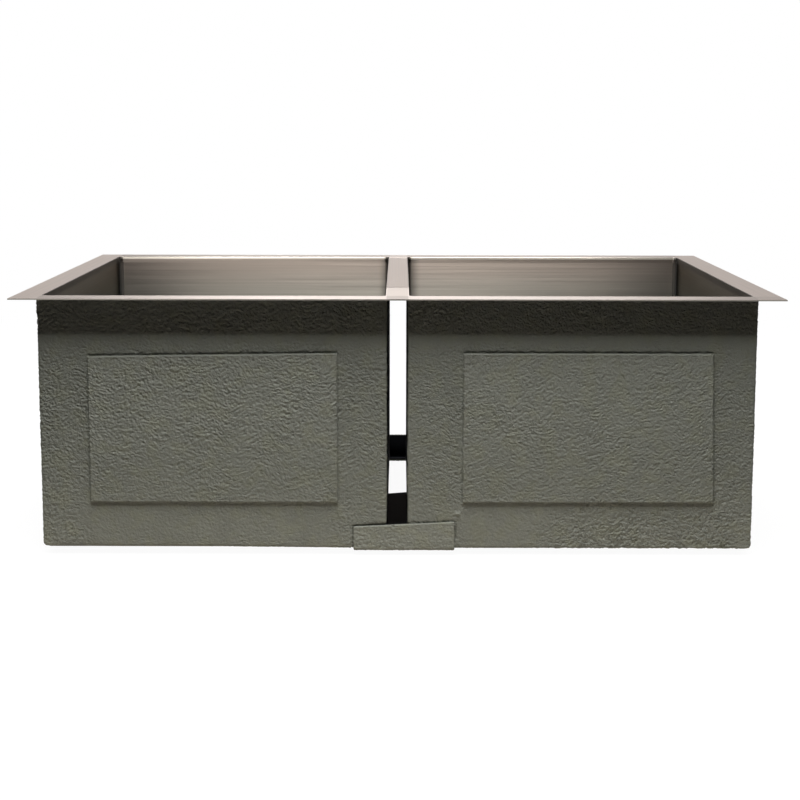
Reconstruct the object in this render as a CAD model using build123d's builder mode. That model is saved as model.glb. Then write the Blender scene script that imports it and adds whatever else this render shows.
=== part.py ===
from build123d import *
import os

# A sink with two equal bowls that hangs under a counter. It is bent and welded from steel sheet:
# a flat rim with rounded, turned-down inner edges, a strip between the bowls, and two deep bowls.
# Rubber pads are stuck to the outside of each bowl, two bent ties join the bowls at the bottom,
# and a thick coat is sprayed over all of that.
# X runs across the bowls, Y from the front rail to the back rail, and Z up. The origin is the
# middle of the rim's flat top. Sizes are in millimetres.

# Rim
overall_width = 762.0
overall_depth = 457.2
rail_width = 27.0
divider_width = 24.0
divider_stub = 14.0
lip_depth = 7.0
edge_round = 0.8
weld_round = 1.2

# Steel bowls
sheet = 1.27
bowl_depth = 254.0
inner_corner = 4.8
outer_corner = 2.0
floor_fold = 3.2

# Floor, which falls in four slopes from a flat border to the drain
floor_border = 50.0
floor_fall = 4.0
slope_end = 58.0
apron_drop = 3.5
apron_slope = 0.1
apron_radius = 92.0

# Drain dish
drain_hole = 88.9
strainer_flange = 114.3
strainer_clearance = 1.5
dish_foot = 1.5
dish_wall = 2.0
dish_lip_outside = 2.0

# Rubber pads
pad_width = 249.0
pad_height = 151.5
pad_thickness = 2.5
pad_drop = 57.5
left_pad_shift = 1.5
right_pad_shift = 7.5
left_pad_skew = 3.4
right_pad_flare = 4.0
base_pad_side_gap = 58.5
base_pad_drain_gap = 96.0
base_pad_end_gap = 13.6

# Ties
tie_sheet = 2.0
tie_width = 102.0
front_tie_shift = 7.0
front_tie_height = 24.6
front_tie_skew = 5.1
front_tie_leg = 220.0
front_tie_leg_skew = 30.0
rear_tie_height = 22.5
rear_tie_leg = 25.0

# Sprayed coat
coat = 3.4
coat_corner = 2.6
coat_fold = 4.0
coat_edge = 1.2
gap_film = 0.3
spray_mask = 82.0

# Worked out from the sizes above
bowl_width = (overall_width - divider_width) / 2 - rail_width
bowl_length = overall_depth - 2 * rail_width
floor_top = sheet - bowl_depth
gap_wall = divider_width / 2
outer_wall = gap_wall + bowl_width
end_wall = bowl_length / 2
base_pad_width = bowl_width - 2 * base_pad_side_gap
base_pad_length = end_wall - base_pad_drain_gap - base_pad_end_gap
dish_radius = strainer_flange / 2 + strainer_clearance
dish_lip = dish_lip_outside + sheet
apron_top = floor_top - apron_drop
seat_top = apron_top - dish_lip - dish_wall - dish_foot
steel_front = -end_wall - sheet
steel_back = end_wall + sheet
touch = 0.01
hands = {"left": -1, "right": 1}
tie_sizes = {
    -1: (front_tie_shift, front_tie_height, front_tie_skew, front_tie_leg, front_tie_leg_skew),
    1: (0.0, rear_tie_height, 0.0, rear_tie_leg, 0.0),
}


def save(piece, name):
    """Name a finished piece and write its file."""
    piece.part.label = name
    export_step(piece.part, f"parts/{name}.step")


def bowl_middle(side):
    """X of the middle of the left (-1) or right (1) bowl."""
    return side * (gap_wall + outer_wall) / 2


def folded_block(side, out, near, ends, bottom, top, corner, fold):
    """A block grown past the bowl's space by out, near the gap by near, and at both ends by ends.

    Its upright edges are nearly sharp, as welded ones are, and its bottom edges are folds.
    """
    width = bowl_width + out + near
    depth = bowl_length + 2 * ends
    height = top - bottom
    middle = bowl_middle(side) + side * (out - near) / 2
    with BuildPart() as block:
        with BuildSketch(Plane.XY.offset(bottom)):
            with Locations((middle, 0)):
                RectangleRounded(width, depth, corner)
        extrude(amount=height)
        with BuildSketch(Plane.XZ) as front_view:
            with Locations((middle, bottom + height / 2)):
                Rectangle(width, height)
            fillet(front_view.vertices().group_by(Axis.Y)[0], fold)
        extrude(amount=depth, both=True, mode=Mode.INTERSECT)
        with BuildSketch(Plane.YZ) as side_view:
            with Locations((0, bottom + height / 2)):
                Rectangle(depth, height)
            fillet(side_view.vertices().group_by(Axis.Y)[0], fold)
        extrude(amount=overall_width, both=True, mode=Mode.INTERSECT)
    return block.part


def floor_slopes(side, grow):
    """The four slopes under the floor's flat border, moved down by grow."""
    with BuildPart() as slopes:
        with BuildSketch(Plane.XY.offset(floor_top - grow)):
            with Locations((bowl_middle(side), 0)):
                Rectangle(bowl_width - 2 * floor_border, bowl_length - 2 * floor_border)
        with BuildSketch(Plane.XY.offset(floor_top - grow - floor_fall)):
            with Locations((bowl_middle(side), 0)):
                Rectangle(slope_end, slope_end)
        loft()
    return slopes.part


def drain_dish(side, grow):
    """The round dish for a strainer, with the shallow apron round it, grown outwards by grow."""
    foot = dish_foot + grow
    lip = dish_lip - grow
    radius = dish_radius + grow
    bottom = seat_top - grow
    brim = apron_top - grow
    rise = apron_slope * (apron_radius - radius - lip)
    with BuildPart() as dish:
        with BuildSketch(Plane.XZ.shift_origin((bowl_middle(side), 0, 0))):
            with BuildLine():
                seat = Line((0, bottom), (radius - foot, bottom))
                corner = TangentArc(seat @ 1, (radius, bottom + foot), tangent=(1, 0))
                wall = Line(corner @ 1, (radius, brim - lip))
                turn = TangentArc(wall @ 1, (radius + lip, brim), tangent=(0, 1))
                apron = Line(turn @ 1, (apron_radius, brim + rise))
                Polyline(apron @ 1, (apron_radius, floor_top), (0, floor_top), seat @ 0)
            make_face()
        revolve(axis=Axis((bowl_middle(side), 0, 0), (0, 0, 1)))
    return dish.part


def bowl_space(side):
    """Everything inside a bowl, from the rim's top down to the floor and the drain dish."""
    with BuildPart() as space:
        with BuildSketch(Plane.XY.offset(floor_top)):
            with Locations((bowl_middle(side), 0)):
                RectangleRounded(bowl_width, bowl_length, inner_corner)
        extrude(amount=-floor_top)
        fillet(space.faces().sort_by(Axis.Z)[0].edges(), floor_fold)
        add(floor_slopes(side, 0))
        add(drain_dish(side, 0))
    return space.part


def steel_outside(side):
    """Everything inside the outer surface of a bowl's sheet, up to the underside of the rim."""
    with BuildPart() as outside:
        add(folded_block(side, sheet, sheet, sheet, -bowl_depth, -sheet, outer_corner,
                         floor_fold + sheet))
        add(floor_slopes(side, sheet))
        add(drain_dish(side, sheet))
    return outside.part


def flat_pad(plane, corners, thickness, edge=0.0):
    """A pad cut to four corners, on a wall, and grown all round by edge."""
    with BuildPart() as pad:
        with BuildSketch(plane):
            with BuildLine():
                Polyline(*corners, close=True)
            make_face()
            if edge:
                offset(amount=edge, kind=Kind.INTERSECTION)
        extrude(amount=thickness)
    return pad.part


def wall_plane(face, side):
    """The plane of a bowl's outer steel face, seen from outside with Z up."""
    if face == "front":
        return Plane((0, steel_front, 0), x_dir=(1, 0, 0), z_dir=(0, -1, 0))
    if face == "rear":
        return Plane((0, steel_back, 0), x_dir=(-1, 0, 0), z_dir=(0, 1, 0))
    return Plane((side * (outer_wall + sheet), 0, 0), x_dir=(0, side, 0), z_dir=(side, 0, 0))


def pad_corners(face, side):
    """The four corners of a wall's pad, as cut by hand, in the wall's own plane."""
    half = pad_width / 2
    high = -pad_drop
    low = -pad_drop - pad_height
    skew = 0.0
    flare = 0.0
    middle = 0.0
    if face == "front" and side < 0:
        middle = bowl_middle(side) - left_pad_shift
        skew = left_pad_skew
    if face == "front" and side > 0:
        middle = bowl_middle(side) + right_pad_shift
        flare = right_pad_flare
    if face == "rear":
        middle = -bowl_middle(side)
    return [
        (middle - half, high - skew),
        (middle + half, high),
        (middle + half + flare, low),
        (middle - half, low),
    ]


def base_pads(side, ends, steel, grow, edge=0.0):
    """Pads on the underside, before (-1) and behind (1) the drain, down to grow below the steel."""
    middle = base_pad_drain_gap + base_pad_length / 2
    with BuildSketch(Plane.XY.offset(-bowl_depth - grow)) as plan:
        with Locations([(bowl_middle(side), end * middle) for end in ends]):
            Rectangle(base_pad_width + 2 * edge, base_pad_length + 2 * edge)
    with BuildPart() as pads:
        add(floor_slopes(side, sheet + grow))
        extrude(plan.sketch, amount=bowl_depth, both=True, mode=Mode.INTERSECT)
        extrude(plan.sketch, amount=grow)
        add(steel, mode=Mode.SUBTRACT)
    return pads.part


def bent_tie(face, near, far):
    """The front (-1) or rear (1) tie between two distances from the steel.

    It is bent round the bottom fold of the end walls, and its edges are cut a little askew.
    """
    fold = floor_fold + sheet
    wall = face * steel_back
    shift, height, skew, leg, leg_skew = tie_sizes[face]
    left = shift - tie_width / 2
    right = shift + tie_width / 2
    top = height - bowl_depth
    end = wall - face * leg
    with BuildPart() as tie:
        with BuildSketch(Plane.YZ.offset(left)):
            with BuildLine():
                up = Line((wall + face * near, top), (wall + face * near, fold - bowl_depth))
                bend = TangentArc(up @ 1, (wall - face * fold, -bowl_depth - near), tangent=(0, -1))
                under = Line(bend @ 1, (end, -bowl_depth - near))
                tail = Line(under @ 1, (end, -bowl_depth - far))
                back = Line(tail @ 1, (wall - face * fold, -bowl_depth - far))
                turn = TangentArc(back @ 1, (wall + face * far, fold - bowl_depth), tangent=(face, 0))
                Polyline(turn @ 1, (wall + face * far, top), up @ 0)
            make_face()
        extrude(amount=tie_width)
        if skew:
            with BuildSketch(Plane.XZ.offset(-wall)):
                with BuildLine():
                    Polyline((left, top), (right, top), (left, top - skew), close=True)
                make_face()
            extrude(amount=2 * far, both=True, mode=Mode.SUBTRACT)
        if leg_skew:
            with BuildSketch(Plane.XY.offset(-bowl_depth)):
                with BuildLine():
                    Polyline((left, end), (right, end), (left, end + face * leg_skew), close=True)
                make_face()
            extrude(amount=2 * far, both=True, mode=Mode.SUBTRACT)
    return tie.part


def round_cutter(side, radius, bottom, top):
    """A cylinder on a bowl's drain axis."""
    with BuildPart() as cutter:
        with BuildSketch(Plane.XY.offset(bottom)):
            with Locations((bowl_middle(side), 0)):
                Circle(radius)
        extrude(amount=top - bottom)
    return cutter.part


def opening_edges(rim, height):
    """The rim's edges at one height, apart from those of its outline."""
    level = rim.edges().filter_by_position(Axis.Z, height - touch, height + touch)
    return [
        edge for edge in level
        if abs(edge.center().X) < overall_width / 2 - touch
        and abs(edge.center().Y) < overall_depth / 2 - touch
    ]


os.makedirs("parts", exist_ok=True)

# The whole rim with both openings, before the strip between the bowls is parted from it
with BuildPart() as whole_rim:
    with BuildSketch(Plane.XY.offset(-sheet)):
        Rectangle(overall_width, overall_depth)
    extrude(amount=sheet)
    with BuildSketch(Plane.XY.offset(-lip_depth)):
        with Locations((bowl_middle(-1), 0), (bowl_middle(1), 0)):
            RectangleRounded(bowl_width + 2 * sheet, bowl_length + 2 * sheet, outer_corner)
    extrude(amount=lip_depth - sheet)
    with BuildSketch():
        with Locations((bowl_middle(-1), 0), (bowl_middle(1), 0)):
            RectangleRounded(bowl_width, bowl_length, inner_corner)
    extrude(amount=-lip_depth, mode=Mode.SUBTRACT)
    fillet(opening_edges(whole_rim, 0), edge_round)
    fillet(opening_edges(whole_rim, -sheet), weld_round)

strip_length = bowl_length - 2 * divider_stub
with BuildPart() as divider_strip:
    add(whole_rim)
    with BuildSketch(Plane.XY.offset(-lip_depth)):
        Rectangle(divider_width + inner_corner, strip_length)
    extrude(amount=lip_depth, mode=Mode.INTERSECT)
save(divider_strip, "divider_strip")

with BuildPart() as rim_frame:
    add(whole_rim)
    with BuildSketch(Plane.XY.offset(-lip_depth)):
        Rectangle(divider_width + inner_corner, strip_length)
    extrude(amount=lip_depth, mode=Mode.SUBTRACT)
save(rim_frame, "rim_frame")

tie_parts = []
for name, face in (("front", -1), ("rear", 1)):
    with BuildPart() as tie:
        add(bent_tie(face, 0, tie_sheet))
    save(tie, f"{name}_tie")
    with BuildPart() as tie_coat:
        add(bent_tie(face, tie_sheet, tie_sheet + coat))
    save(tie_coat, f"{name}_tie_coat")
    tie_parts += [tie, tie_coat]

for hand, side in hands.items():
    steel = steel_outside(side)
    with BuildPart() as bowl:
        add(steel)
        add(bowl_space(side), mode=Mode.SUBTRACT)
        add(round_cutter(side, drain_hole / 2, -2 * bowl_depth, floor_top), mode=Mode.SUBTRACT)
        with BuildSketch(Plane.XY.offset(-lip_depth)):
            Rectangle(overall_width, overall_depth)
        extrude(amount=lip_depth, mode=Mode.SUBTRACT)
    save(bowl, f"{hand}_bowl")

    pads = []
    for face in ("front", "rear", "side"):
        with BuildPart() as pad:
            add(flat_pad(wall_plane(face, side), pad_corners(face, side), pad_thickness))
        save(pad, f"{hand}_{face}_pad")
        pads.append(pad)
    for face, end in (("front", -1), ("rear", 1)):
        with BuildPart() as pad:
            add(base_pads(side, [end], steel, pad_thickness))
        save(pad, f"{hand}_{face}_base_pad")
        pads.append(pad)

    # The coat follows the steel, swells over each pad and is only a film in the narrow gap
    with BuildPart() as undercoat:
        add(folded_block(side, sheet + coat, sheet + gap_film, sheet + coat,
                         -bowl_depth - coat, -sheet, coat_corner, coat_fold))
        add(floor_slopes(side, sheet + coat))
        for face in ("front", "rear", "side"):
            add(flat_pad(wall_plane(face, side), pad_corners(face, side),
                         pad_thickness + coat, coat_edge))
        add(base_pads(side, (-1, 1), steel, pad_thickness + coat, coat_edge))
        add(steel, mode=Mode.SUBTRACT)
        add(round_cutter(side, spray_mask, -2 * bowl_depth, floor_top), mode=Mode.SUBTRACT)
        for neighbour in (rim_frame, divider_strip, *pads, *tie_parts):
            add(neighbour, mode=Mode.SUBTRACT)
    save(undercoat, f"{hand}_undercoat")
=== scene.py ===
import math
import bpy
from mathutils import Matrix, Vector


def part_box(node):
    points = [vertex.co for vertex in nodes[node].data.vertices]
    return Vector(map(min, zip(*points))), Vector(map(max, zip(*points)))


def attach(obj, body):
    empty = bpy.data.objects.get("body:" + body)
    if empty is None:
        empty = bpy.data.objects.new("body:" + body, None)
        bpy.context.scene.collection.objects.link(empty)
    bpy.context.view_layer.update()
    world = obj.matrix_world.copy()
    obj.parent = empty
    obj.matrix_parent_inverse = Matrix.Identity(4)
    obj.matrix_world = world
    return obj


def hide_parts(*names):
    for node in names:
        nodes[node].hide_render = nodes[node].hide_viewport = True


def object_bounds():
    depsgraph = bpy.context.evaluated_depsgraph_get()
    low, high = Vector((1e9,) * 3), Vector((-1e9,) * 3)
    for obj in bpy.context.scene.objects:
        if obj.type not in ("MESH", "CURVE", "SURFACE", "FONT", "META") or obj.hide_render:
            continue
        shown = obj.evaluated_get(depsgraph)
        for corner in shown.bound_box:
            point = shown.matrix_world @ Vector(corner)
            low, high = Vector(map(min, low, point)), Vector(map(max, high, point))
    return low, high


bl_info = {
    "name": "Welded sink finish",
    "version": (1, 0, 0),
    "blender": (4, 5, 0),
    "location": "View3D > Sidebar > Sink",
    "description": "Brushed steel, a sprayed coat and a plain studio for a double bowl sink",
    "category": "Object",
}

from functools import partial

import bmesh
import bpy
import numpy as np
from bpy.props import FloatProperty, FloatVectorProperty, PointerProperty
from mathutils import Euler, Vector

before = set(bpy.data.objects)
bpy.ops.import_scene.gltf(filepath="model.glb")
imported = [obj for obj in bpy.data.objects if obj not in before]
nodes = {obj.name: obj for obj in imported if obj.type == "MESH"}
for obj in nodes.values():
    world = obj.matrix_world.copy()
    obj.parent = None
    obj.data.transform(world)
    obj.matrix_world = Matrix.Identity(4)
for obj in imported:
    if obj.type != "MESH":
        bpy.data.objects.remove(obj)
cad_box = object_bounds()

MM = 0.001
HANDS = {"left": -1, "right": 1}

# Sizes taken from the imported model, in metres
steel_low, steel_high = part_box("right_bowl")
coat_low, coat_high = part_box("right_undercoat")
film_gap = steel_low.x - coat_low.x
strip_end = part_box("divider_strip")[1].y
rim_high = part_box("rim_frame")[1]
base_low, base_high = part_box("right_front_base_pad")
tie_coat_low, tie_coat_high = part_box("front_tie_coat")
bowl_middle = (steel_low.x + steel_high.x) / 2

# Sizes that the model's source has and its boxes don't show
SHEET = 1.27 * MM
COAT = 3.4 * MM
COAT_CORNER = 2.6 * MM
STEEL_CORNER = 2.0 * MM
STEEL_FOLD = 4.47 * MM
PAD = 2.5 * MM
PAD_SKEW = 3.4 * MM
PAD_FLARE = 4.0 * MM
BASE_LEVEL = -254.0 * MM
FLOOR_BORDER = 50.0 * MM
FLOOR_FALL = 4.0 * MM
SLOPE_END = 58.0 * MM
SPRAY_MASK = 82.0 * MM
TIE_SHEET = 2.0 * MM
TIE_SKEW = 5.1 * MM
TIE_LEG_SKEW = 30.0 * MM

# The fold at the foot of the coat, which is tighter than the solid's
COAT_FOLD = 3.0 * MM

# Where a finish changes: the dish's rim, the painted highlight line on the lips, the calm foot, the divider's
# end, the rim's edge
DISH_RIM = 64.0 * MM
HIGHLIGHT_LINE_DEPTH = 2.7 * MM
CALM_LEVEL = -215.0 * MM
BLEND_END = -132.0 * MM
EDGE_REACH = 0.5 * MM

# How much a face has to point along an axis to count as facing that way
FACING = 0.6

# Painted reflection tints of the steel: warmer walls near their top than near their foot, cooler side walls
# and side lips, and the tint of the painted highlight line
LOWER_TINT = (0.985, 1.0, 0.985)
UPPER_TINT = (1.08, 1.0, 0.97)
SIDE_WALL_TINT = (1.12, 1.24, 1.36)
SIDE_LIP_TINT = (1.16, 1.24, 1.34)
HIGHLIGHT_TINT = (0.95, 0.97, 0.90)

# What steel and rubber look like, and how strong the relief of brush marks is
RIM_GRAZING = (0.95, 0.88, 0.83)
BOWL_GRAZING = (0.56, 0.545, 0.515)
RUBBER = (0.035, 0.035, 0.035)
MARK_DEPTH = 0.02 * MM

# Tints of the light
WHITE = (1.0, 1.0, 1.0)
LAMP_TINT = (1.0, 0.99, 0.975)
FILL_TINT = (1.0, 0.74, 0.54)
BOUNCE_TINT = (1.0, 0.90, 0.78)
UNDER_TINT = (1.0, 0.95, 0.88)

# Places and sizes of the lamps and the floor, in metres
KEY_PLACE = (-0.015, -0.57, 1.2)
STRIP_DEPTH = 0.05
REAR_PLACE = (1.15, 1.15, 1.0)
REAR_SIZE = 0.9
FLOOR_REACH = 30.0

# The camera, in metres, millimetres and radians
CAMERA_PLACE = (0.0025, -1.6273, 0.1758)
CAMERA_TILT = 0.130
CAMERA_ROLL = 0.002
CAMERA_SENSOR = 36.0
CAMERA_LENS = 65.0
CAMERA_SHIFT = -0.1169


def colour_setting(name, description, default):
    """A colour that the panel shows."""
    return FloatVectorProperty(
        name=name, description=description, subtype="COLOR", default=default, min=0.0, max=1.0)


def setting(name, description, default, high, low=0.0, **kind):
    """A number that the panel shows, with its range."""
    return FloatProperty(name=name, description=description, default=default, min=low, max=high, **kind)


class SteelSettings(bpy.types.PropertyGroup):
    """Finish of the rim, the bowls and the ties."""

    rail: colour_setting("Rail colour", "Satin steel of the flat rim", (0.74, 0.672, 0.632))
    wall: colour_setting("Wall colour", "Satin steel inside the bowls", (0.30, 0.277, 0.247))
    # Painted shade: the ties' steel is coloured near black
    mill: colour_setting("Mill colour", "Dull steel of the ties", (0.02, 0.021, 0.024))
    # Painted shade: how much darker the side walls and side lips, the bowls' corner fillets and the rim's
    # sheared edge are coloured
    side_shade: setting("Side shade", "How bright the side walls are, beside the rest", 0.5, 1.0)
    corner_shade: setting("Corner shade", "How bright the ground corners are, beside the rest", 0.22, 1.0)
    edge_shade: setting("Edge shade", "How bright the rim's sheared edge is, beside the rest", 0.3, 1.0)
    grain_length: setting("Grain length", "Length of one brush mark", 0.09, 0.5, 0.005, unit="LENGTH")
    grain_pitch: setting(
        "Grain pitch", "Distance between brush marks", 0.0009, 0.01, 0.0001, unit="LENGTH")


class CoatSettings(bpy.types.PropertyGroup):
    """Sound-deadening coat that is sprayed on the outside."""

    colour: colour_setting("Colour", "Grey-green of the dried coat", (0.143, 0.150, 0.130))
    height: setting("Relief", "Height of the ridges that the spray leaves", 0.00058, 0.003, unit="LENGTH")
    length: setting("Ridge length", "Length of one ridge", 0.0027, 0.05, 0.001, unit="LENGTH")
    pitch: setting("Ridge pitch", "Distance from ridge to ridge", 0.0024, 0.02, 0.001, unit="LENGTH")


class StageSettings(bpy.types.PropertyGroup):
    """Studio light and floor."""

    key_power: setting(
        "Key power", "Power of the softbox above the front", 49.0, 500.0, subtype="POWER")
    key_width: setting("Key width", "Width of the softbox", 0.84, 4.0, 0.1, unit="LENGTH")
    key_depth: setting("Key depth", "Depth of the softbox", 0.76, 4.0, 0.1, unit="LENGTH")
    strip_power: setting(
        "Strip power", "Power of the narrow lamp at the softbox's front edge", 6.0, 100.0, subtype="POWER")
    rear_power: setting(
        "Rear power", "Power of each softbox behind the part", 40.0, 500.0, subtype="POWER")
    fill: setting("Fill", "Light that comes from all round", 0.014, 2.0)
    ceiling: setting("Ceiling", "What the steel sees above the white walls", 0.06, 1.0)
    under: setting("Under", "Light on the underside, from the floor below the bowls", 0.35, 2.0)
    bounce: setting("Bounce", "How much light the floor near the part sends back", 0.5, 1.0)


def feed(inputs, values):
    """Puts values or links on a node's inputs."""
    for key, given in values.items():
        if isinstance(given, Value):
            given.tree.links.new(given.socket, inputs[key])
        else:
            inputs[key].default_value = given


def node(tree, kind, inputs=None, **settings):
    """A new node, with its settings, and with values or links on its inputs."""
    made = tree.nodes.new(kind)
    for name, choice in settings.items():
        setattr(made, name, choice)
    feed(made.inputs, inputs or {})
    return made


def value(tree, kind, inputs=None, output=0, **settings):
    """What a new node puts out."""
    return Value(node(tree, kind, inputs, **settings).outputs[output])


def work(operation, *values):
    """The result of a math node, in the tree of the first value that has one."""
    tree = next(given.tree for given in values if isinstance(given, Value))
    return value(tree, "ShaderNodeMath", dict(enumerate(values)), operation=operation)


class Value:
    """What a socket puts out. Sums, products and comparisons of it add math nodes."""

    def __init__(self, socket):
        self.socket = socket
        self.tree = socket.id_data

    def __add__(self, other):
        return work("ADD", self, other)

    def __sub__(self, other):
        return work("SUBTRACT", self, other)

    def __rsub__(self, other):
        return work("SUBTRACT", other, self)

    def __mul__(self, other):
        return work("MULTIPLY", self, other)

    def __abs__(self):
        return work("ABSOLUTE", self)

    def __lt__(self, other):
        return work("LESS_THAN", self, other)

    def __gt__(self, other):
        return work("GREATER_THAN", self, other)


def vector(operation, first, *others, output=0):
    """The result of a vector math node."""
    return value(first.tree, "ShaderNodeVectorMath", dict(enumerate((first, *others))), output,
                 operation=operation)


def scaled(colour, factor):
    """A colour or a vector times a value."""
    return value(factor.tree, "ShaderNodeVectorMath", {0: colour, "Scale": factor}, operation="SCALE")


def join(*parts):
    """A vector made of its parts, the last of which is a value."""
    return value(parts[-1].tree, "ShaderNodeCombineXYZ", dict(enumerate(parts)))


def split(place):
    """The X, Y and Z of a vector."""
    return [Value(socket) for socket in node(place.tree, "ShaderNodeSeparateXYZ", {0: place}).outputs]


def noise(place, scale=1.0, detail=2.0, roughness=0.5):
    """Noise at a place."""
    return value(place.tree, "ShaderNodeTexNoise", {
        "Vector": place, "Scale": scale, "Detail": detail, "Roughness": roughness})


def remap(source, low, high, to_low=0.0, to_high=1.0, soft=True):
    """A value moved from one range to another, and held inside it."""
    return value(
        source.tree, "ShaderNodeMapRange",
        {"Value": source, "From Min": low, "From Max": high, "To Min": to_low, "To Max": to_high},
        interpolation_type="SMOOTHSTEP" if soft else "LINEAR")


def mix(factor, first, second, kind="VECTOR", **settings):
    """One or the other of two vectors, numbers or colours, or a share of both."""
    rank = ("FLOAT", "VECTOR", "RGBA").index(kind)
    return value(factor.tree, "ShaderNodeMix", {0: factor, 2 + 2 * rank: first, 3 + 2 * rank: second},
                 rank, data_type=kind, **settings)


def pick(factor, first, second):
    """One number or the other."""
    return mix(factor, first, second, "FLOAT")


def tinted(colour, tint):
    """A plain colour times a tint."""
    return tuple(part * share for part, share in zip(colour, tint))


def group(name, kind, inputs, outputs):
    """A new node group with its sockets: its tree, what comes in and its output node's inputs."""
    tree = bpy.data.node_groups.new(name, kind)
    for socket_name, socket_kind, default in inputs:
        made = tree.interface.new_socket(
            socket_name, in_out="INPUT", socket_type=f"NodeSocket{socket_kind}")
        if default is not None:
            made.default_value = default
    for socket_name, socket_kind in outputs:
        tree.interface.new_socket(socket_name, in_out="OUTPUT", socket_type=f"NodeSocket{socket_kind}")
    get = {socket.name: Value(socket) for socket in tree.nodes.new("NodeGroupInput").outputs}
    return tree, get, tree.nodes.new("NodeGroupOutput").inputs


def use(tree, name, inputs):
    """What a node group puts out, when it's placed in a material with its own values."""
    made = node(tree, "ShaderNodeGroup", inputs, node_tree=bpy.data.node_groups[name])
    return {socket.name: Value(socket) for socket in made.outputs}


# What both groups put out
FINISH = [("Colour", "Color"), ("Roughness", "Float"), ("Height", "Float")]


def brushed_group():
    """Long fine marks along X of the vector, as colour, roughness and height."""
    _, get, end = group(
        "Brushed marks", "ShaderNodeTree",
        [("Vector", "Vector", None), ("Colour", "Color", (0.5, 0.5, 0.5, 1.0)), ("Length", "Float", 0.09),
         ("Pitch", "Float", 0.001), ("Roughness", "Float", 0.3), ("Contrast", "Float", 0.2)],
        FINISH)
    scale = join(get["Length"], get["Pitch"], get["Pitch"])
    fine = noise(vector("DIVIDE", get["Vector"], scale), 1.0, 4.0, 0.65)
    wide_scale = vector("MULTIPLY", scale, (2.2, 2.6, 2.6))
    wide = noise(vector("DIVIDE", get["Vector"], wide_scale), 1.0, 3.0)
    centred = fine * 0.5 + wide * 0.5 - 0.5
    feed(end, {
        "Colour": scaled(get["Colour"], centred * get["Contrast"] + 1.0),
        "Roughness": get["Roughness"] + centred * (get["Contrast"] * 0.5), "Height": fine})


def ridge_lean(x, place):
    """How far the ridges rise on their way out from the middle, with a little sway."""
    sway = noise(vector("MULTIPLY", place, (20.0, 20.0, 7.0)), 1.0, 1.0)
    across = abs(x)
    curved = work("MINIMUM", across, 0.25)
    fan = curved * curved + (across - curved) * 0.30
    return (sway - 0.5) * 0.025 - fan * 0.20


def ridge_strength(x, height, above):
    """How strong the ridges are, by their place: calm at the foot, and strong at the top left."""
    across = abs(x)
    low_right = remap(x, 0.12, 0.20)
    low_left = remap(x, -0.30, -0.325, 0.0, 0.35) + remap(across, 0.05, 0.08, 0.3, 0.0)
    calm = pick(above, low_left + 0.30 + low_right, low_right * 0.04 + 0.66)
    upper = remap(height, -0.18, -0.10, 0.0, 0.34) * remap(x, -0.18, -0.02, 1.0, 0.42)
    upper_right = remap(height, -0.16, -0.12) * remap(x, 0.19, 0.25)
    in_shadow = remap(height, -0.085, -0.04, 1.0, 0.5) + remap(height, -0.042, -0.034, 0.0, 0.7)
    return (calm + upper - upper_right * 0.22) * in_shadow


def ridge_height(place, length, pitch):
    """Short level ridges and small pits that lean one way and the other, about -1 to 1."""
    x, _, height = split(place)
    slanted = vector("ADD", place, join(0.0, 0.0, ridge_lean(x, place)))
    cells = vector("DIVIDE", slanted, join(length, length, pitch))
    above = remap(height, CALM_LEVEL - 0.015, CALM_LEVEL + 0.015)
    coarse = noise(cells, 1.0, 1.0)
    fine = noise(vector("MULTIPLY", cells, (1.25, 1.13, 1.13)), 1.0, 1.0)
    crest = (pick(above * (x > 0.0), coarse, fine) - 0.5) * 2.0
    drops = value(place.tree, "ShaderNodeTexVoronoi", {
        "Vector": vector("ADD", cells, (5.3, 2.7, 9.1)), "Scale": 0.55}, "Distance")
    pits = remap(drops, 0.05, 0.45, -0.5, 0.12)
    patch = noise(vector("ADD", place, (0.7, 0.4, 0.2)), 28.0)
    amount = remap(patch, 0.35, 0.65, 0.78, 1.2)
    return (crest + pits) * amount * ridge_strength(x, height, above)


def coat_group():
    """Mottled colour, ridges and fine grain of the sprayed coat."""
    _, get, end = group(
        "Sprayed grain", "ShaderNodeTree",
        [("Vector", "Vector", None), ("Colour", "Color", (0.15, 0.15, 0.12, 1.0)),
         ("Length", "Float", 0.0036), ("Pitch", "Float", 0.002), ("Relief", "Float", 0.0008),
         ("Modelled", "Float", 0.0), ("Shade", "Float", 1.0)],
        FINISH)
    place = get["Vector"]
    patch = noise(place, 38.0, 3.0, 0.55)
    speck = noise(place, 900.0, 2.0, 0.6)
    shade = remap(patch, 0.3, 0.7, 0.93, 1.06, False) + remap(speck, 0.25, 0.75, -0.05, 0.05, False)
    green = noise(vector("ADD", place, (0.31, 0.17, 0.23)), 55.0)
    tint = mix(remap(green, 0.45, 0.65, 0.0, 0.5), scaled(get["Colour"], shade * get["Shade"]),
               (1.04, 1.03, 0.90, 1.0), "RGBA", blend_type="MULTIPLY")
    fine = (noise(place, 650.0, 3.0, 0.6) - 0.5) * 0.0002
    ridges = ridge_height(place, get["Length"], get["Pitch"]) * get["Relief"] * (2.2 - get["Modelled"])
    feed(end, {
        "Colour": tint, "Roughness": remap(patch, 0.3, 0.7, 0.72, 0.86), "Height": fine + ridges})


def new_material(name):
    """A new material, its tree, its shader's inputs and the object coordinates."""
    material = bpy.data.materials.new(name)
    material.use_nodes = True
    tree = material.node_tree
    place = value(tree, "ShaderNodeTexCoord", output="Object")
    return material, tree, tree.nodes["Principled BSDF"].inputs, place


def relief_normal(height, distance, strength=1.0, **more):
    """A surface direction with a small relief."""
    return value(height.tree, "ShaderNodeBump", {
        "Height": height, "Distance": distance, "Strength": strength, **more})


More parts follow.
